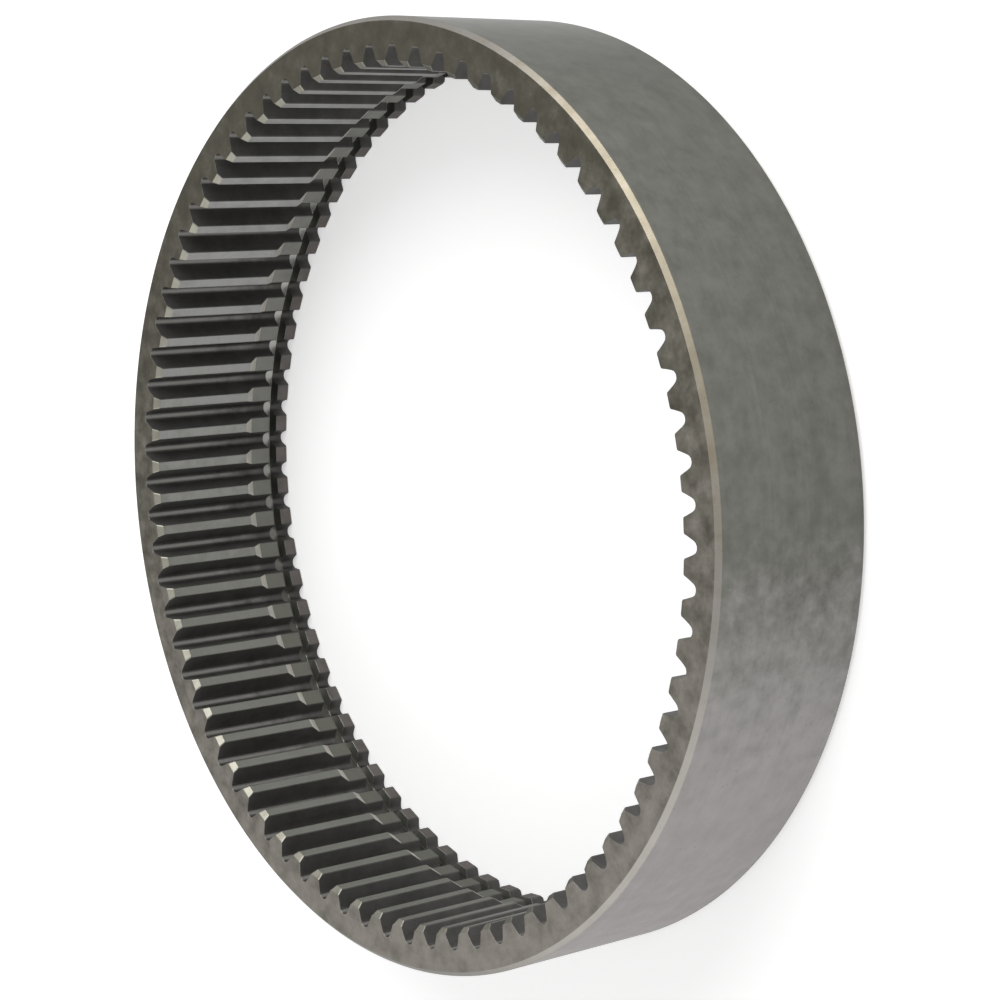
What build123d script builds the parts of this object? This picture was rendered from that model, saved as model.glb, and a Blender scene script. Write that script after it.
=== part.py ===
"""Internal ring gear of a planetary final drive, made as one turned and gear-cut steel ring.

The ring lies on the end face that carries the retaining-ring groove, with its axis on Z.
The origin is the centre of that face. Going up the bore from it:
  - short end teeth outside the groove, chamfered at the mouth,
  - the groove for the retaining ring, turned across the teeth to just short of their roots,
  - the carrier seat, where the tooth tips are turned back to a larger bore,
  - a ramp from that bore down to the full-height tips,
  - the full-height teeth, up to a chamfer at the open end.
All lengths are in millimetres and all angles in degrees.
"""
from build123d import *
import os
from math import acos, cos, radians, sin, tan

# gearing
module = 2.5
tooth_count = 75
pressure_angle = 22.5
addendum = 2.125
dedendum = 2.5
root_arc_rise = 0.25  # height of the hollow root beyond the end of the flanks

# ring body
rim_thickness = 5.75  # steel outside the tooth roots
face_width = 40.0
rim_chamfer = 1.0
tip_chamfer = 1.2  # at the open end of the full-height teeth

# carrier seat and retaining-ring groove, going up from the bottom face
mouth_chamfer = 0.4
end_tooth_length = 3.4
groove_width = 2.1
groove_depth = 2.25  # below the seat's bore, just short of the tooth roots
seat_length = 5.35
tip_turn_back = 1.875  # radial height taken off the tips at the seat
ramp_angle = 35.0

# radii that follow from the gearing
pitch_radius = module * tooth_count / 2
tip_radius = pitch_radius - addendum
root_radius = pitch_radius + dedendum
outer_radius = root_radius + rim_thickness
seat_radius = tip_radius + tip_turn_back
groove_radius = seat_radius + groove_depth

# heights of the turned steps
groove_bottom = end_tooth_length
groove_top = groove_bottom + groove_width
ramp_bottom = groove_top + seat_length
ramp_top = ramp_bottom + tip_turn_back / tan(radians(ramp_angle))


def involute(angle):
    """Involute function of an angle in radians."""
    return tan(angle) - angle


def half_space_angle(radius):
    """Half the angle, in radians, that a tooth space takes up at a radius."""
    reference = radians(pressure_angle)
    local = acos(pitch_radius * cos(reference) / radius)
    return radians(90 / tooth_count) + involute(reference) - involute(local)


def flank_point(radius, side):
    """Point on the space's flank at a radius; side is +1 or -1 from the space's centre line."""
    angle = side * half_space_angle(radius)
    return (radius * cos(angle), radius * sin(angle))


# profile of one tooth space: two involute flanks and a hollow root
cutter_overrun = 0.5  # how far the cut starts inside the tips, so that it opens into the bore
cut_radius = tip_radius - cutter_overrun
flank_end = root_radius - root_arc_rise
flank_middle = (cut_radius + flank_end) / 2

with BuildSketch() as tooth_space:
    with BuildLine():
        lower_flank = ThreePointArc(
            flank_point(cut_radius, -1), flank_point(flank_middle, -1), flank_point(flank_end, -1)
        )
        upper_flank = ThreePointArc(
            flank_point(cut_radius, 1), flank_point(flank_middle, 1), flank_point(flank_end, 1)
        )
        ThreePointArc(lower_flank @ 1, (root_radius, 0), upper_flank @ 1)
        Line(upper_flank @ 0, lower_flank @ 0)
    make_face()

with BuildPart() as ring_gear:
    # turned blank, with the bore's seat, groove, ramp and chamfers in one section
    with BuildSketch(Plane.XZ):
        with BuildLine():
            Polyline(
                (outer_radius - rim_chamfer, 0),
                (outer_radius, rim_chamfer),
                (outer_radius, face_width - rim_chamfer),
                (outer_radius - rim_chamfer, face_width),
                (tip_radius + tip_chamfer, face_width),
                (tip_radius, face_width - tip_chamfer),
                (tip_radius, ramp_top),
                (seat_radius, ramp_bottom),
                (seat_radius, groove_top),
                (groove_radius, groove_top),
                (groove_radius, groove_bottom),
                (seat_radius, groove_bottom),
                (seat_radius, mouth_chamfer),
                (seat_radius + mouth_chamfer, 0),
                close=True,
            )
        make_face()
    revolve(axis=Axis.Z)

    # tooth spaces cut right through
    with BuildSketch():
        with PolarLocations(0, tooth_count):
            add(tooth_space.sketch)
    extrude(amount=face_width, mode=Mode.SUBTRACT)

ring_gear.part.label = "ring_gear"

os.makedirs("parts", exist_ok=True)
export_step(ring_gear.part, "parts/ring_gear.step")

print(f"outside diameter {2 * outer_radius:.2f}, tip diameter {2 * tip_radius:.2f}")
print(f"volume {ring_gear.part.volume:.0f} mm3")
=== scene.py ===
"""Looks of the internal ring gear: dark machined steel with a thin film of old oil.

One pitch of the ring is built as a strip of faces, from the middle of a tooth to the middle of
the next. Geometry Nodes repeat it round the axis, and a bevel breaks its edges.
Each turned or cut surface has its own finish. All of them share the node groups for turning
marks, oil stains, specks and colour. On several surfaces the oil stain's lean paints light
and shade: one side of the ring lighter than the other, as the light falls.
"""

import math

import bmesh
import bpy
from mathutils import Matrix, Vector


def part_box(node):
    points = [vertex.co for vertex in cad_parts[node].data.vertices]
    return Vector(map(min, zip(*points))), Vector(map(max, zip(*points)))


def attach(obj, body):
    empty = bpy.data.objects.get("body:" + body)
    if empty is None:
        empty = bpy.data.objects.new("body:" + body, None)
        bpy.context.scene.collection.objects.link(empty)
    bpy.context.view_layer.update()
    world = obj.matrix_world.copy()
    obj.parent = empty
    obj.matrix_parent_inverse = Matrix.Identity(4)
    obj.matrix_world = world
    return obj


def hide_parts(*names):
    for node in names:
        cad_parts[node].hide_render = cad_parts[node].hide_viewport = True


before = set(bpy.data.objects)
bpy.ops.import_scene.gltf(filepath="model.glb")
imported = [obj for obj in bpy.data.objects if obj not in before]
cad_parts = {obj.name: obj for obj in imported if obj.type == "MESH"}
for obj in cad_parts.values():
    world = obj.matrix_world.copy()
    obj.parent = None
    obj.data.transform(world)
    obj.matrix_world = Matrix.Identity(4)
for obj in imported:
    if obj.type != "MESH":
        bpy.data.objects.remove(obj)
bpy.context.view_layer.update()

MM = 0.001

# ---------------------------------------------------------------- sizes of the ring

ring_low, ring_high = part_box("ring_gear")
OUTER_RADIUS = (ring_high.x - ring_low.x) / 2
FACE_WIDTH = ring_high.z - ring_low.z

TOOTH_COUNT = 75
MODULE = 2.5 * MM
PRESSURE_ANGLE = math.radians(22.5)
ADDENDUM = 2.125 * MM
DEDENDUM = 2.5 * MM
RIM_CHAMFER = 1.0 * MM
TIP_CHAMFER = 1.2 * MM
MOUTH_CHAMFER = 0.4 * MM
GROOVE_BOTTOM = 3.4 * MM
GROOVE_TOP = 5.5 * MM
GROOVE_BELOW_ROOT = 0.2 * MM
RAMP_BOTTOM = 10.85 * MM
TIP_TURN_BACK = 1.875 * MM
RAMP_ANGLE = math.radians(35)

PITCH_RADIUS = MODULE * TOOTH_COUNT / 2
TIP_RADIUS = PITCH_RADIUS - ADDENDUM
ROOT_RADIUS = PITCH_RADIUS + DEDENDUM
SEAT_RADIUS = TIP_RADIUS + TIP_TURN_BACK
GROOVE_RADIUS = ROOT_RADIUS + GROOVE_BELOW_ROOT
JOIN_RADIUS = ROOT_RADIUS - 0.5 * MM  # where the faces of the flanks meet those of the root
RAMP_TOP = RAMP_BOTTOM + TIP_TURN_BACK / math.tan(RAMP_ANGLE)
FACE_EDGE_RADIUS = OUTER_RADIUS - RIM_CHAMFER
HALF_PITCH = math.pi / TOOTH_COUNT

# broken edges
CORNER_ROUND = 0.38 * MM  # along the tooth tips
EDGE_BREAK = 0.13 * MM  # everywhere else
SHARP_ANGLE = math.radians(20)  # flatter edges than this aren't broken
WELD_DISTANCE = 0.002 * MM

# finishes, in the order of their numbers on the faces
OUTSIDE, END_FACE, RIM, TIP, LAND, SEAT = range(6)
RAMP, END_TOOTH, FLANK, ROOT, GROOVE, GROOVE_WALL = range(6, 12)
TOOTH_TOPS = {TIP, LAND, SEAT, RAMP, END_TOOTH}


# ---------------------------------------------------------------- profile of a tooth space


def involute(angle):
    """Involute function of an angle."""
    return math.tan(angle) - angle


def half_space_angle(radius):
    """Half the angle that a tooth space takes up between its flanks at a radius."""
    local = math.acos(PITCH_RADIUS * math.cos(PRESSURE_ANGLE) / radius)
    return HALF_PITCH / 2 + involute(PRESSURE_ANGLE) - involute(local)


def root_fillet():
    """Centre, radius and starting radius of the round that joins two flanks through the root."""
    low, high = TIP_RADIUS, ROOT_RADIUS
    step = 0.001 * MM
    for _ in range(50):
        start = (low + high) / 2
        angle, ahead = half_space_angle(start), half_space_angle(start + step)
        x, y = start * math.cos(angle), start * math.sin(angle)
        run = (start + step) * math.cos(ahead) - x
        lean = (y - (start + step) * math.sin(ahead)) / run
        centre = x - y * lean
        radius = y * math.hypot(1, lean)
        if centre + radius > ROOT_RADIUS:
            high = start
        else:
            low = start
    return centre, radius, start


FILLET_CENTRE, FILLET_RADIUS, FILLET_START = root_fillet()


def profile_angle(radius):
    """Half angle of the space at a radius, on the flank or on the root's round."""
    if radius < FILLET_START:
        return half_space_angle(radius)
    x = (radius**2 - FILLET_RADIUS**2 + FILLET_CENTRE**2) / (2 * FILLET_CENTRE)
    return math.acos(min(1.0, x / radius))


# ---------------------------------------------------------------- one pitch of the ring

# where the rows of points lie, as shares of each surface
LAND_STEPS = (0.0, 0.5, 1.0)
FLANK_STEPS = (0.0, 0.28, 0.46, 0.64, 0.82, 1.0)
FACE_STEPS = (0.3, 0.65, 1.0)
ROOT_STEPS = 10
OUTSIDE_STEPS = 5

POINTS_PER_UNIT = 1e8  # points closer together than this are the same point


class Pitch:
    """Faces from the middle of one tooth to the middle of the next, in polar points."""

    def __init__(self):
        self.points = []
        self.numbers = {}
        self.faces = []
        self.finishes = []

    def point(self, radius, angle, height):
        """Number of the point, which is made the first time."""
        key = tuple(round(value * POINTS_PER_UNIT) for value in (radius, angle, height))
        if key not in self.numbers:
            self.numbers[key] = len(self.points)
            self.points.append((radius * math.cos(angle), radius * math.sin(angle), height))
        return self.numbers[key]

    def sheet(self, rows, finish):
        """A sheet of four-sided faces through rows of polar points."""
        grid = [[self.point(*p) for p in row] for row in rows]
        for near, far in zip(grid, grid[1:]):
            for face in zip(near, near[1:], far[1:], far):
                self.faces.append(face)
                self.finishes.append(finish)


def land_row(side, radius, height):
    """Points from the middle of a tooth to its corner."""
    corner = profile_angle(radius)
    return [(radius, side * (HALF_PITCH + (corner - HALF_PITCH) * t), height) for t in LAND_STEPS]


def flank_radii(land_radius):
    """Radii of a flank's points, from the land out to the root."""
    return [land_radius + (JOIN_RADIUS - land_radius) * t for t in FLANK_STEPS]


def flank_row(side, land_radius, height):
    """Points down a flank from the land to the root."""
    return [(r, side * profile_angle(r), height) for r in flank_radii(land_radius)]


def root_row(height):
    """Points round the root, from one flank to the other."""
    half = profile_angle(JOIN_RADIUS)
    across = (JOIN_RADIUS * math.cos(half) - FILLET_CENTRE) / FILLET_RADIUS
    sweep = math.acos(across)
    row = []
    for i in range(ROOT_STEPS + 1):
        turn = sweep * (2 * i / ROOT_STEPS - 1)
        x = FILLET_CENTRE + FILLET_RADIUS * math.cos(turn)
        y = FILLET_RADIUS * math.sin(turn)
        row.append((math.hypot(x, y), math.atan2(y, x), height))
    return row


def inner_edge(height):
    """The row across a whole pitch where the teeth join the rim."""
    left = land_row(-1, JOIN_RADIUS, height)
    right = land_row(1, JOIN_RADIUS, height)
    return left[:-1] + root_row(height) + right[-2::-1]


def add_teeth(pitch):
    """Lands and flanks of the end teeth below the groove and of the long teeth above it."""
    below = [
        (0.0, SEAT_RADIUS + MOUTH_CHAMFER, TIP),
        (MOUTH_CHAMFER, SEAT_RADIUS, END_TOOTH),
        (GROOVE_BOTTOM, SEAT_RADIUS, None),
    ]
    above = [
        (GROOVE_TOP, SEAT_RADIUS, SEAT),
        (RAMP_BOTTOM, SEAT_RADIUS, RAMP),
        (RAMP_TOP, TIP_RADIUS, LAND),
        (FACE_WIDTH - TIP_CHAMFER, TIP_RADIUS, TIP),
        (FACE_WIDTH, TIP_RADIUS + TIP_CHAMFER, None),
    ]
    for side in (-1, 1):
        for levels in (below, above):
            for (z0, r0, finish), (z1, r1, _) in zip(levels, levels[1:]):
                pitch.sheet([land_row(side, r0, z0), land_row(side, r1, z1)], finish)
                pitch.sheet([flank_row(side, r0, z0), flank_row(side, r1, z1)], FLANK)


def add_groove(pitch):
    """Floor and walls of the retaining-ring groove, cut just past the roots of the teeth."""
    floor = []
    for z in (GROOVE_BOTTOM, GROOVE_TOP):
        for side in (-1, 1):
            pitch.sheet([land_row(side, r, z) for r in flank_radii(SEAT_RADIUS)], GROOVE_WALL)
        edge = inner_edge(z)
        floor.append([(GROOVE_RADIUS, angle, z) for _, angle, _ in edge])
        pitch.sheet([edge, floor[-1]], GROOVE_WALL)
    pitch.sheet(floor, GROOVE)


def add_roots(pitch):
    """Roots of the end teeth below the groove and of the long teeth above it."""
    below = (0.0, MOUTH_CHAMFER, GROOVE_BOTTOM)
    above = (GROOVE_TOP, RAMP_BOTTOM, RAMP_TOP, FACE_WIDTH - TIP_CHAMFER, FACE_WIDTH)
    for heights in (below, above):
        pitch.sheet([root_row(z) for z in heights], ROOT)


def add_end_face(pitch, height, land_radius):
    """Flat end: the ends of the teeth and the ring outside their roots."""
    for side in (-1, 1):
        pitch.sheet([land_row(side, r, height) for r in flank_radii(land_radius)], END_FACE)
    edge = inner_edge(height)
    rows = [edge]
    for share in FACE_STEPS:
        radius = ROOT_RADIUS + (FACE_EDGE_RADIUS - ROOT_RADIUS) * share
        rows.append([(radius, angle, height) for _, angle, _ in edge])
    pitch.sheet(rows, END_FACE)


def add_rim(pitch):
    """The outside and the chamfers at both its ends."""
    angles = [angle for _, angle, _ in inner_edge(0.0)]

    def ring(radius, height):
        return [(radius, angle, height) for angle in angles]

    low, high = RIM_CHAMFER, FACE_WIDTH - RIM_CHAMFER
    heights = [low + (high - low) * i / OUTSIDE_STEPS for i in range(OUTSIDE_STEPS + 1)]
    pitch.sheet([ring(OUTER_RADIUS, z) for z in heights], OUTSIDE)
    pitch.sheet([ring(FACE_EDGE_RADIUS, 0.0), ring(OUTER_RADIUS, low)], RIM)
    pitch.sheet([ring(OUTER_RADIUS, high), ring(FACE_EDGE_RADIUS, FACE_WIDTH)], RIM)


def weigh_edges(bm):
    """Marks the edges that are broken: wide along the tooth tips, narrow on the others."""
    weight = bm.edges.layers.float.new("bevel_weight_edge")
    finish = bm.faces.layers.int["finish"]
    for edge in bm.edges:
        if len(edge.link_faces) != 2 or edge.calc_face_angle() < SHARP_ANGLE:
            continue
        kinds = {face[finish] for face in edge.link_faces}
        level = abs(edge.verts[0].co.z - edge.verts[1].co.z) < 0.001 * MM
        tooth_corner = FLANK in kinds and kinds & TOOTH_TOPS and not level
        edge[weight] = 1.0 if tooth_corner else EDGE_BREAK / CORNER_ROUND


def pitch_mesh():
    """The mesh of one pitch, with each face's finish and each edge's bevel weight."""
    pitch = Pitch()
    add_teeth(pitch)
    add_groove(pitch)
    add_roots(pitch)
    add_end_face(pitch, 0.0, SEAT_RADIUS + MOUTH_CHAMFER)
    add_end_face(pitch, FACE_WIDTH, TIP_RADIUS + TIP_CHAMFER)
    add_rim(pitch)

    mesh = bpy.data.meshes.new("one_pitch")
    mesh.from_pydata(pitch.points, [], pitch.faces)
    bm = bmesh.new()
    bm.from_mesh(mesh)
    finish = bm.faces.layers.int.new("finish")
    bm.faces.ensure_lookup_table()
    for face, number in zip(bm.faces, pitch.finishes):
        face[finish] = number
        face.smooth = True
    bmesh.ops.recalc_face_normals(bm, faces=bm.faces)
    outside = next(face for face in bm.faces if face[finish] == OUTSIDE)
    if outside.normal.dot(outside.calc_center_median()) < 0:
        bmesh.ops.reverse_faces(bm, faces=bm.faces)
    weigh_edges(bm)
    bm.to_mesh(mesh)
    bm.free()
    return mesh


# ---------------------------------------------------------------- node helpers


def add(tree, kind, **settings):
    """A node with its properties set."""
    made = tree.nodes.new(kind)
    for name, value in settings.items():
        setattr(made, name, value)
    return made


def feed(tree, socket, source):
    """Joins a socket to an output, or sets its value."""
    if isinstance(source, bpy.types.NodeSocket):
        tree.links.new(source, socket)
    else:
        socket.default_value = source


def maths(tree, operation, *values):
    """A number worked out from other numbers."""
    made = add(tree, "ShaderNodeMath", operation=operation)
    for socket, value in zip(made.inputs, values):
        feed(tree, socket, value)
    return made.outputs[0]


def vector_maths(tree, operation, *values):
    """A vector worked out from vectors or numbers."""
    made = add(tree, "ShaderNodeVectorMath", operation=operation)
    for socket, value in zip(made.inputs, values):
        feed(tree, socket, value)
    return made.outputs[0]


def noise(tree, vector, scale, detail, roughness):
    """Smooth noise from 0 to 1."""
    made = add(tree, "ShaderNodeTexNoise")
    feed(tree, made.inputs["Vector"], vector)
    feed(tree, made.inputs["Scale"], scale)
    feed(tree, made.inputs["Detail"], detail)
    feed(tree, made.inputs["Roughness"], roughness)
    return made.outputs["Fac"]


def ramp(tree, value, low, high):
    """A smooth rise from 0 at low to 1 at high."""
    made = add(tree, "ShaderNodeMapRange", interpolation_type="SMOOTHSTEP")
    feed(tree, made.inputs["Value"], value)
    feed(tree, made.inputs["From Min"], low)
    feed(tree, made.inputs["From Max"], high)
    return made.outputs["Result"]


def blend_colour(tree, share, first, second):
    """The first colour at a share of 0, and the second at 1."""
    made = add(tree, "ShaderNodeMix", data_type="RGBA")
    feed(tree, made.inputs[0], share)
    feed(tree, made.inputs[6], first)
    feed(tree, made.inputs[7], second)
    return made.outputs[2]


def blend_value(tree, share, first, second):
    """The first number at a share of 0, and the second at 1."""
    made = add(tree, "ShaderNodeMix", data_type="FLOAT")
    feed(tree, made.inputs[0], share)
    feed(tree, made.inputs[2], first)
    feed(tree, made.inputs[3], second)
    return made.outputs[0]


def new_group(name, kind, inputs, outputs):
    """A node group with named sockets, and its input and output nodes."""
    group = bpy.data.node_groups.new(name, kind)
    for label, socket, *default in inputs:
        made = group.interface.new_socket(label, in_out="INPUT", socket_type=socket)
        if default:
            made.default_value = default[0]
    for label, socket in outputs:
        group.interface.new_socket(label, in_out="OUTPUT", socket_type=socket)
    return group, add(group, "NodeGroupInput").outputs, add(group, "NodeGroupOutput").inputs


def place(tree, group, **values):
    """A node group in a material, with its named inputs fed."""
    made = add(tree, "ShaderNodeGroup", node_tree=group)
    for name, value in values.items():
        feed(tree, made.inputs[name.replace("_", " ").capitalize()], value)
    return made.outputs


def tone(red, green, blue):
    """A colour given as it shows on a screen, 0 to 255, in the shader's own terms."""
    shares = [c / 255 for c in (red, green, blue)]
    return (*[c / 12.92 if c < 0.04045 else ((c + 0.055) / 1.055) ** 2.4 for c in shares], 1.0)


FLOAT, VECTOR, COLOUR = "NodeSocketFloat", "NodeSocketVector", "NodeSocketColor"


# ---------------------------------------------------------------- shared surface effects


def turning_marks_group():
    """Fine lines left by the lathe tool: round the axis, closely spaced across the feed."""
    group, inp, out = new_group(
        "turning_marks",
        "ShaderNodeTree",
        [("Position", VECTOR), ("Lines per metre", FLOAT, 1500.0), ("Sweep", FLOAT, 12.0)],
        [("Marks", FLOAT)],
    )
    parts = add(group, "ShaderNodeSeparateXYZ")
    feed(group, parts.inputs[0], inp["Position"])
    x, y, z = parts.outputs
    squares = maths(group, "MULTIPLY_ADD", x, x, maths(group, "MULTIPLY", y, y))
    feed_line = maths(group, "ADD", maths(group, "SQRT", squares), z)
    joined = add(group, "ShaderNodeCombineXYZ")
    feed(group, joined.inputs[0], maths(group, "MULTIPLY", x, inp["Sweep"]))
    feed(group, joined.inputs[1], maths(group, "MULTIPLY", y, inp["Sweep"]))
    feed(group, joined.inputs[2], maths(group, "MULTIPLY", feed_line, inp["Lines per metre"]))
    feed(group, out["Marks"], noise(group, joined.outputs[0], 1.0, 3.0, 0.6))
    return group


def cutting_marks_group():
    """Fine lines left by the gear cutter, along the teeth."""
    group, inp, out = new_group(
        "cutting_marks",
        "ShaderNodeTree",
        [("Position", VECTOR), ("Lines per metre", FLOAT, 2500.0), ("Length", FLOAT, 60.0)],
        [("Marks", FLOAT)],
    )
    joined = add(group, "ShaderNodeCombineXYZ")
    feed(group, joined.inputs[0], inp["Lines per metre"])
    feed(group, joined.inputs[1], inp["Lines per metre"])
    feed(group, joined.inputs[2], inp["Length"])
    stretched = vector_maths(group, "MULTIPLY", inp["Position"], joined.outputs[0])
    feed(group, out["Marks"], noise(group, stretched, 1.0, 2.0, 0.5))
    return group


def stain_and_painted_light_group():
    """Dried oil: soft blotches, more of them towards the side that the lean points to.
    On the outside, end face, lands, seat and groove the lean also paints light and shade: a
    side of the ring lighter where the light falls, darker where it doesn't.

    Film is how much thicker the oil is than its mean, whatever the mask.
    """
    group, inp, out = new_group(
        "oil_stain",
        "ShaderNodeTree",
        [
            ("Position", VECTOR),
            ("Blotches per metre", FLOAT, 220.0),
            ("Blotch strength", FLOAT, 0.5),
            ("Cover", FLOAT, 0.5),
            ("Softness", FLOAT, 0.3),
            ("Lean", VECTOR),
        ],
        [("Mask", FLOAT), ("Film", FLOAT)],
    )
    cloud = noise(group, inp["Position"], inp["Blotches per metre"], 5.0, 0.62)
    blotches = maths(group, "SUBTRACT", cloud, 0.5)
    lean = add(group, "ShaderNodeVectorMath", operation="DOT_PRODUCT")
    feed(group, lean.inputs[0], inp["Position"])
    feed(group, lean.inputs[1], inp["Lean"])
    cover = maths(group, "ADD", inp["Cover"], lean.outputs["Value"])
    level = maths(group, "MULTIPLY_ADD", blotches, inp["Blotch strength"], cover)
    low = maths(group, "SUBTRACT", 0.5, inp["Softness"])
    high = maths(group, "ADD", 0.5, inp["Softness"])
    feed(group, out["Mask"], ramp(group, level, low, high))
    feed(group, out["Film"], blotches)
    return group


def specks_group():
    """Small pits and dots of dirt."""
    group, inp, out = new_group(
        "specks",
        "ShaderNodeTree",
        [("Position", VECTOR), ("Specks per metre", FLOAT, 700.0), ("Share", FLOAT, 0.3)],
        [("Mask", FLOAT)],
    )
    fine = noise(group, inp["Position"], inp["Specks per metre"], 2.0, 0.55)
    level = maths(group, "SUBTRACT", 0.78, maths(group, "MULTIPLY", inp["Share"], 0.4))
    feed(group, out["Mask"], ramp(group, fine, level, maths(group, "ADD", level, 0.09)))
    return group


def steel_colour_group():
    """Colour and roughness of oiled steel from its masks. On several finishes the stain mask carries
    painted light and shade.
    """
    group, inp, out = new_group(
        "steel_colour",
        "ShaderNodeTree",
        [
            ("Clean", COLOUR),
            ("Stained", COLOUR),
            ("Stain", FLOAT),
            ("Film", FLOAT),
            ("Film contrast", FLOAT, 0.5),
            ("Specks", FLOAT),
            ("Speck depth", FLOAT, 0.3),
            ("Marks", FLOAT),
            ("Mark contrast", FLOAT, 0.3),
            ("Clean roughness", FLOAT, 0.38),
            ("Stained roughness", FLOAT, 0.5),
        ],
        [("Colour", COLOUR), ("Roughness", FLOAT)],
    )
    base = blend_colour(group, inp["Stain"], inp["Clean"], inp["Stained"])
    marks = maths(group, "SUBTRACT", inp["Marks"], 0.5)
    swing = maths(group, "MULTIPLY", marks, inp["Mark contrast"])
    dimming = maths(group, "MULTIPLY", inp["Specks"], inp["Speck depth"])
    wetness = maths(group, "MULTIPLY_ADD", inp["Stain"], 0.65, 0.35)
    thickness = maths(group, "MULTIPLY", inp["Film"], wetness)
    film = maths(group, "MULTIPLY", thickness, inp["Film contrast"])
    darkening = maths(group, "ADD", dimming, film)
    gain = maths(group, "SUBTRACT", maths(group, "ADD", 1.0, swing), darkening)
    feed(group, out["Colour"], vector_maths(group, "SCALE", base, (0, 0, 0), (0, 0, 0), gain))
    rough = blend_value(group, inp["Stain"], inp["Clean roughness"], inp["Stained roughness"])
    feed(group, out["Roughness"], maths(group, "ADD", rough, maths(group, "MULTIPLY", swing, 0.3)))
    return group


TURNING_MARKS = turning_marks_group()
CUTTING_MARKS = cutting_marks_group()
STAIN_AND_PAINTED_LIGHT = stain_and_painted_light_group()
SPECKS = specks_group()
STEEL_COLOUR = steel_colour_group()


# ---------------------------------------------------------------- finishes

BLOTCHES_PER_METRE = 220.0
SPECKS_PER_METRE = 900.0
SPECK_SHARE = 0.3
SPECK_DEPTH = 0.14
MARK_HEIGHT = 0.004 * MM
MARK_STRENGTH = 0.5


def steel_finish(
    name,
    clean,
    stained,
    marks=TURNING_MARKS,
    lines=1500.0,
    contrast=0.16,
    strength=0.6,
    cover=0.5,
    softness=0.3,
    lean=(0.0, 0.0, 0.0),
    film=0.7,
    roughness=(0.38, 0.48),
    edge=0.62,
    metal=0.9,
    stained_metal=None,
):
    """A steel surface with its own colours, marks, stains and roughness.

    Roughness is a pair, clean and stained. Edge is the tint of reflections at a low angle.
    Where the lean of the stain mask paints light and shade, clean and stained are a lit and a
    shaded tone.
    """
    material = bpy.data.materials.new(name)
    material.use_nodes = True
    tree = material.node_tree
    shader = tree.nodes["Principled BSDF"]
    position = add(tree, "ShaderNodeTexCoord").outputs["Object"]
    lay = place(tree, marks, position=position, lines_per_metre=lines)["Marks"]
    # stain mask: oil blotches, and on several finishes a lean across the ring that paints light and
    # shade
    oil = place(
        tree,
        STAIN_AND_PAINTED_LIGHT,
        position=position,
        blotches_per_metre=BLOTCHES_PER_METRE,
        blotch_strength=strength,
        cover=cover,
        softness=softness,
        lean=lean,
    )
    specks = place(
        tree, SPECKS, position=position, specks_per_metre=SPECKS_PER_METRE, share=SPECK_SHARE
    )
    dots = specks["Mask"]
    look = place(
        tree,
        STEEL_COLOUR,
        clean=clean,
        stained=stained,
        stain=oil["Mask"],
        film=oil["Film"],
        film_contrast=film,
        specks=dots,
        speck_depth=SPECK_DEPTH,
        marks=lay,
        mark_contrast=contrast,
        clean_roughness=roughness[0],
        stained_roughness=roughness[1],
    )
    feed(tree, shader.inputs["Base Color"], look["Colour"])
    feed(tree, shader.inputs["Roughness"], look["Roughness"])
    if stained_metal is not None:
        metal = blend_value(tree, oil["Mask"], metal, stained_metal)
    feed(tree, shader.inputs["Metallic"], metal)
    feed(tree, shader.inputs["Specular Tint"], (edge, edge, edge, 1.0))
    bump = add(tree, "ShaderNodeBump")
    feed(tree, bump.inputs["Strength"], MARK_STRENGTH)
    feed(tree, bump.inputs["Distance"], MARK_HEIGHT)
    feed(tree, bump.inputs["Height"], maths(tree, "SUBTRACT", lay, dots))
    feed(tree, shader.inputs["Normal"], bump.outputs["Normal"])
    return material


def turned_finishes():
    """The outside, the flat ends and the chamfers. The outside and the end face carry painted light
    as well as oil stain.
    """
    return {
        # partly oil stain, partly painted light: the lighter clean tone leans to the -X side, where
        # it stands in for a brighter reflection
        OUTSIDE: steel_finish(
            "turned_outside",
            tone(166, 163, 162),
            tone(107, 107, 101),
            contrast=0.2,
            strength=0.22,
            film=0.85,
            cover=0.75,
            softness=0.15,
            lean=(6.0, 0.0, 0.0),
            roughness=(0.8, 0.3),
            edge=0.3,
            metal=1.0,
            stained_metal=0.55,
        ),
        # partly oil stain, partly painted light: the lighter clean tone leans to the -X side in
        # place of a lamp lighting that side
        END_FACE: steel_finish(
            "stained_end_face",
            tone(136, 132, 125),
            tone(85, 82, 73),
            film=1.1,
            cover=0.58,
            lean=(2.5, 0.0, 0.0),
            roughness=(0.42, 0.55),
        ),
        RIM: steel_finish(
            "rim_chamfer",
            tone(138, 135, 130),
            tone(134, 127, 112),
            contrast=0.1,
            strength=0.3,
            cover=-0.2,
            softness=0.1,
            lean=(2.9, -7.4, 0.0),
            roughness=(0.36, 0.44),
        ),
        TIP: steel_finish(
            "tip_chamfer",
            tone(138, 136, 126),
            tone(127, 125, 115),
            contrast=0.1,
            roughness=(0.34, 0.42),
        ),
    }


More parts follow.
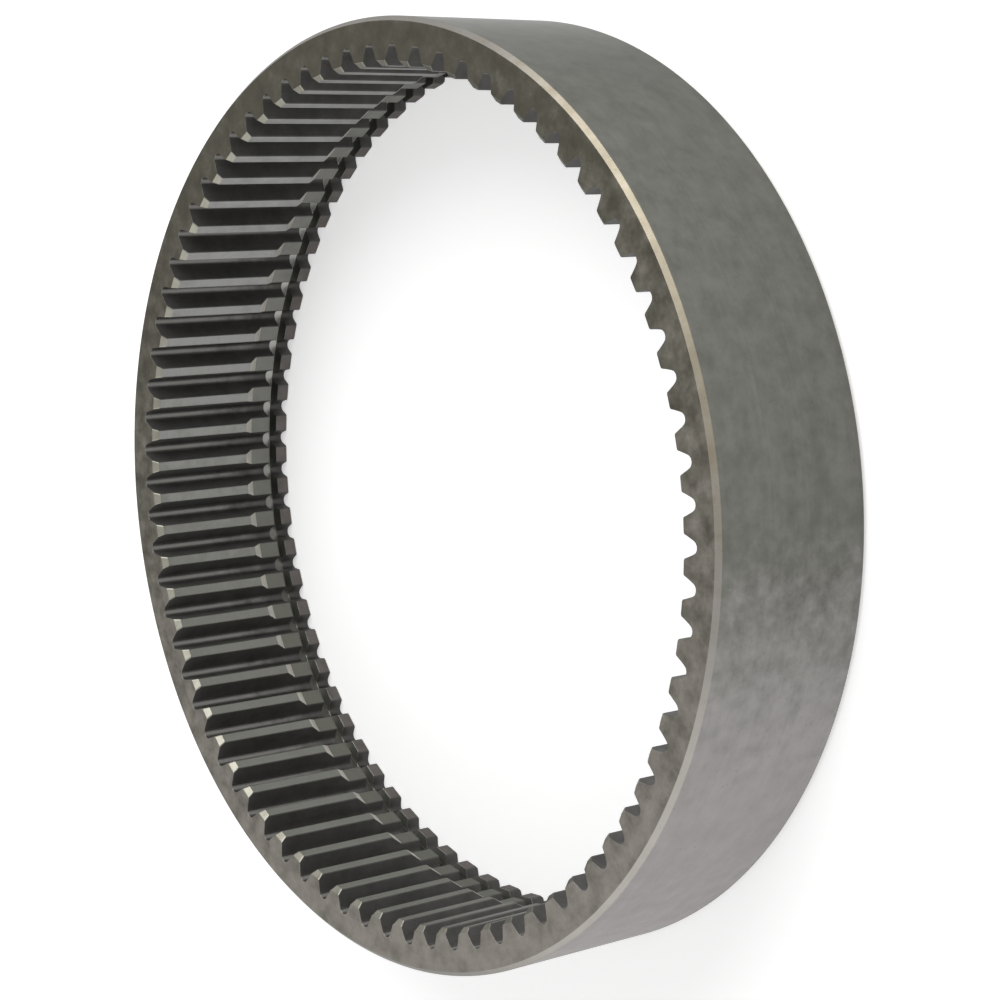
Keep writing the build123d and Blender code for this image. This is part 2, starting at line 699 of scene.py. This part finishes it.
def bore_finishes():
    """The tops of the teeth, from the open end to the grooved end, and the groove. The lands, seat,
    ramp and groove have painted light in their tones.
    """
    return {
        # painted light: the lighter of the two tones leans to the +X side, where the light falls; it
        # is no stain
        LAND: steel_finish(
            "tooth_land",
            tone(115, 116, 109),
            tone(151, 151, 149),
            cover=0.42,
            softness=0.2,
            lean=(4.5, 0.0, 0.0),
        ),
        # painted light: the lighter of the two tones leans to the +X side, where the light falls; it
        # is no stain
        SEAT: steel_finish(
            "turned_seat",
            tone(102, 102, 95),
            tone(126, 126, 122),
            cover=0.38,
            softness=0.2,
            lean=(4.5, 0.0, 0.0),
        ),
        # painted highlight: near-white tones stand in for the bright reflection along the ramp
        RAMP: steel_finish(
            "turned_ramp",
            tone(200, 197, 187),
            tone(186, 183, 173),
            roughness=(0.45, 0.5),
            edge=1.0,
            metal=0.7,
        ),
        END_TOOTH: steel_finish("end_tooth", tone(108, 103, 100), tone(93, 89, 86)),
        # painted light: the near-white tone leans to the +X side, where the floor is lit, and the
        # dark tone is its shade on the -X side
        GROOVE: steel_finish(
            "groove_floor",
            tone(84, 84, 80),
            tone(214, 214, 208),
            lines=2200.0,
            strength=0.3,
            cover=0.36,
            lean=(6.0, 0.0, 0.0),
        ),
        # painted light and shade: lighter on the -X side, darker on the +X side, after how the light
        # falls into the groove
        GROOVE_WALL: steel_finish(
            "groove_wall",
            tone(162, 162, 156),
            tone(82, 82, 79),
            lines=2200.0,
            strength=0.3,
            cover=0.55,
            lean=(9.0, 0.0, 0.0),
        ),
    }


def cut_finishes():
    """The flanks and the roots, left by the gear cutter. The roots are darker towards the grooved
    end.
    """
    return {
        FLANK: steel_finish(
            "tooth_flank",
            tone(92, 91, 89),
            tone(78, 77, 75),
            marks=CUTTING_MARKS,
            lines=2500.0,
            roughness=(0.45, 0.55),
            metal=0.6,
        ),
        ROOT: steel_finish(
            "tooth_root",
            tone(118, 117, 114),
            tone(82, 81, 79),
            marks=CUTTING_MARKS,
            lines=2500.0,
            cover=0.82,
            softness=0.2,
            lean=(0.0, 0.0, -20.0),
        ),
    }


# ---------------------------------------------------------------- the whole ring


def repeat_tree(finishes):
    """Geometry Nodes that repeat one pitch round Z, weld the joins and give each face its finish."""
    tree, inp, out = new_group(
        "repeat_round_axis",
        "GeometryNodeTree",
        [
            ("Pitch", "NodeSocketGeometry"),
            ("Tooth count", "NodeSocketInt"),
            ("Weld distance", "NodeSocketFloat"),
        ],
        [("Ring", "NodeSocketGeometry")],
    )
    points = add(tree, "GeometryNodePoints")
    feed(tree, points.inputs["Count"], inp["Tooth count"])
    step = maths(tree, "DIVIDE", 2 * math.pi, inp["Tooth count"])
    turn = add(tree, "ShaderNodeCombineXYZ")
    index = add(tree, "GeometryNodeInputIndex").outputs[0]
    feed(tree, turn.inputs["Z"], maths(tree, "MULTIPLY", index, step))
    rotation = add(tree, "FunctionNodeEulerToRotation")
    feed(tree, rotation.inputs[0], turn.outputs[0])
    copies = add(tree, "GeometryNodeInstanceOnPoints")
    feed(tree, copies.inputs["Points"], points.outputs[0])
    feed(tree, copies.inputs["Instance"], inp["Pitch"])
    feed(tree, copies.inputs["Rotation"], rotation.outputs[0])
    realized = add(tree, "GeometryNodeRealizeInstances")
    feed(tree, realized.inputs[0], copies.outputs[0])
    welded = add(tree, "GeometryNodeMergeByDistance")
    feed(tree, welded.inputs["Geometry"], realized.outputs[0])
    feed(tree, welded.inputs["Distance"], inp["Weld distance"])
    number = add(tree, "GeometryNodeInputNamedAttribute", data_type="INT")
    number.inputs["Name"].default_value = "finish"
    # the outside's finish goes on every face first, and the others on their own faces
    geometry = welded.outputs[0]
    for finish, material in finishes.items():
        painted = add(tree, "GeometryNodeSetMaterial")
        feed(tree, painted.inputs["Geometry"], geometry)
        painted.inputs["Material"].default_value = material
        if finish != OUTSIDE:
            chosen = add(tree, "FunctionNodeCompare", data_type="INT", operation="EQUAL")
            feed(tree, chosen.inputs[2], number.outputs["Attribute"])
            feed(tree, chosen.inputs[3], finish)
            feed(tree, painted.inputs["Selection"], chosen.outputs[0])
        geometry = painted.outputs[0]
    feed(tree, out["Ring"], geometry)
    return tree


def new_object(name, data):
    """An object in the scene that holds a mesh, a lamp or a camera."""
    made = bpy.data.objects.new(name, data)
    bpy.context.scene.collection.objects.link(made)
    return made


def evaluated_mesh(source):
    """A plain mesh of the object with its modifiers in it."""
    graph = bpy.context.evaluated_depsgraph_get()
    return bpy.data.meshes.new_from_object(source.evaluated_get(graph), depsgraph=graph)


def set_inputs(modifier, **values):
    """Sets a tree's named inputs by their sockets' identifiers."""
    for socket in modifier.node_group.interface.items_tree:
        key = socket.name.lower().replace(" ", "_")
        if socket.item_type == "SOCKET" and socket.in_out == "INPUT" and key in values:
            modifier[socket.identifier] = values[key]


def toothed_ring():
    """The ring with all its teeth and broken edges, as one plain mesh."""
    finishes = {**turned_finishes(), **bore_finishes(), **cut_finishes()}
    source = new_object("one_pitch", pitch_mesh())
    source.data.materials.append(finishes[OUTSIDE])
    repeat = source.modifiers.new("repeat", "NODES")
    repeat.node_group = repeat_tree(finishes)
    set_inputs(repeat, tooth_count=TOOTH_COUNT, weld_distance=WELD_DISTANCE)
    edges = source.modifiers.new("broken_edges", "BEVEL")
    edges.limit_method = "WEIGHT"
    edges.width = CORNER_ROUND
    edges.segments = 2
    edges.use_clamp_overlap = False
    edges.harden_normals = True
    ring = new_object("toothed_ring", evaluated_mesh(source))
    bpy.data.objects.remove(source)
    return ring


ring = toothed_ring()
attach(ring, "root")
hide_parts("ring_gear")


# ---------------------------------------------------------------- floor, lamps, world and camera

FLOOR_HALF = 6.0
FLOOR_DROP = 0.02 * MM
FLOOR_TONE = 0.8
FLOOR_GLOW = 0.45
ROOM_FILL = 0.45
ROOM_WHITE = 1.0
SCENE_CENTRE = (0.0, 0.0, 0.02)
CAMERA_PLACE = (-0.01338, -0.43681, 0.36178)
CAMERA_AHEAD = (0.01916, 0.77710, -0.62910)
CAMERA_UP = (0.99099, -0.09822, -0.09115)


def seen_directly(tree):
    """1 for camera, glossy and transmission rays, and 0 for light that only fills."""
    path = add(tree, "ShaderNodeLightPath").outputs
    direct = maths(tree, "MAXIMUM", path["Is Camera Ray"], path["Is Glossy Ray"])
    return maths(tree, "MAXIMUM", direct, path["Is Transmission Ray"])


def add_floor():
    """A plain pale floor just under the ring, which glows a little so that it shows as white."""
    mesh = bpy.data.meshes.new("floor")
    sides = ((-1, -1), (1, -1), (1, 1), (-1, 1))
    corners = [(x * FLOOR_HALF, y * FLOOR_HALF, -FLOOR_DROP) for x, y in sides]
    mesh.from_pydata(corners, [], [(0, 1, 2, 3)])
    floor = new_object("floor", mesh)
    material = bpy.data.materials.new("pale_floor")
    material.use_nodes = True
    tree = material.node_tree
    shader = tree.nodes["Principled BSDF"]
    feed(tree, shader.inputs["Base Color"], (FLOOR_TONE, FLOOR_TONE, FLOOR_TONE, 1.0))
    feed(tree, shader.inputs["Roughness"], 1.0)
    feed(tree, shader.inputs["Specular IOR Level"], 0.0)
    feed(tree, shader.inputs["Emission Color"], (1.0, 1.0, 1.0, 1.0))
    glow = maths(tree, "MULTIPLY", seen_directly(tree), FLOOR_GLOW)
    feed(tree, shader.inputs["Emission Strength"], glow)
    mesh.materials.append(material)


def add_world():
    """A white room, which gives less light than it shows."""
    world = bpy.data.worlds.new("pale_room")
    world.use_nodes = True
    tree = world.node_tree
    background = tree.nodes["Background"]
    feed(tree, background.inputs["Color"], (1.0, 1.0, 1.0, 1.0))
    extra = maths(tree, "MULTIPLY", seen_directly(tree), ROOM_WHITE - ROOM_FILL)
    strength = maths(tree, "ADD", ROOM_FILL, extra)
    feed(tree, background.inputs["Strength"], strength)
    bpy.context.scene.world = world


def add_lamp(name, place_at, size, power):
    """A round soft lamp, aimed at the ring."""
    lamp = bpy.data.lights.new(name, "AREA")
    lamp.shape = "DISK"
    lamp.size = size
    lamp.energy = power
    made = new_object(name, lamp)
    made.location = place_at
    aim = Vector(SCENE_CENTRE) - Vector(place_at)
    made.rotation_euler = aim.to_track_quat("-Z", "Y").to_euler()


def add_lamps():
    """The main lamp, and a broad weaker one from the other side."""
    add_lamp("key_lamp", (0.92, -0.36, 0.80), size=1.15, power=12.0)
    add_lamp("side_lamp", (-1.18, 0.05, 0.42), size=2.0, power=9.0)


def add_camera():
    """The camera, turned on its side so that the ring stands upright in the view."""
    lens = bpy.data.cameras.new("camera")
    lens.sensor_width = 36.0
    lens.lens = 91.44
    lens.clip_start = 0.01
    lens.clip_end = 50.0
    camera = new_object("camera", lens)
    ahead = Vector(CAMERA_AHEAD).normalized()
    right = ahead.cross(Vector(CAMERA_UP)).normalized()
    turn = Matrix((right, right.cross(ahead), -ahead)).transposed()
    camera.matrix_world = Matrix.Translation(CAMERA_PLACE) @ turn.to_4x4()
    bpy.context.scene.camera = camera


add_floor()
add_world()
add_lamps()
add_camera()
bpy.context.scene.view_settings.view_transform = "Standard"
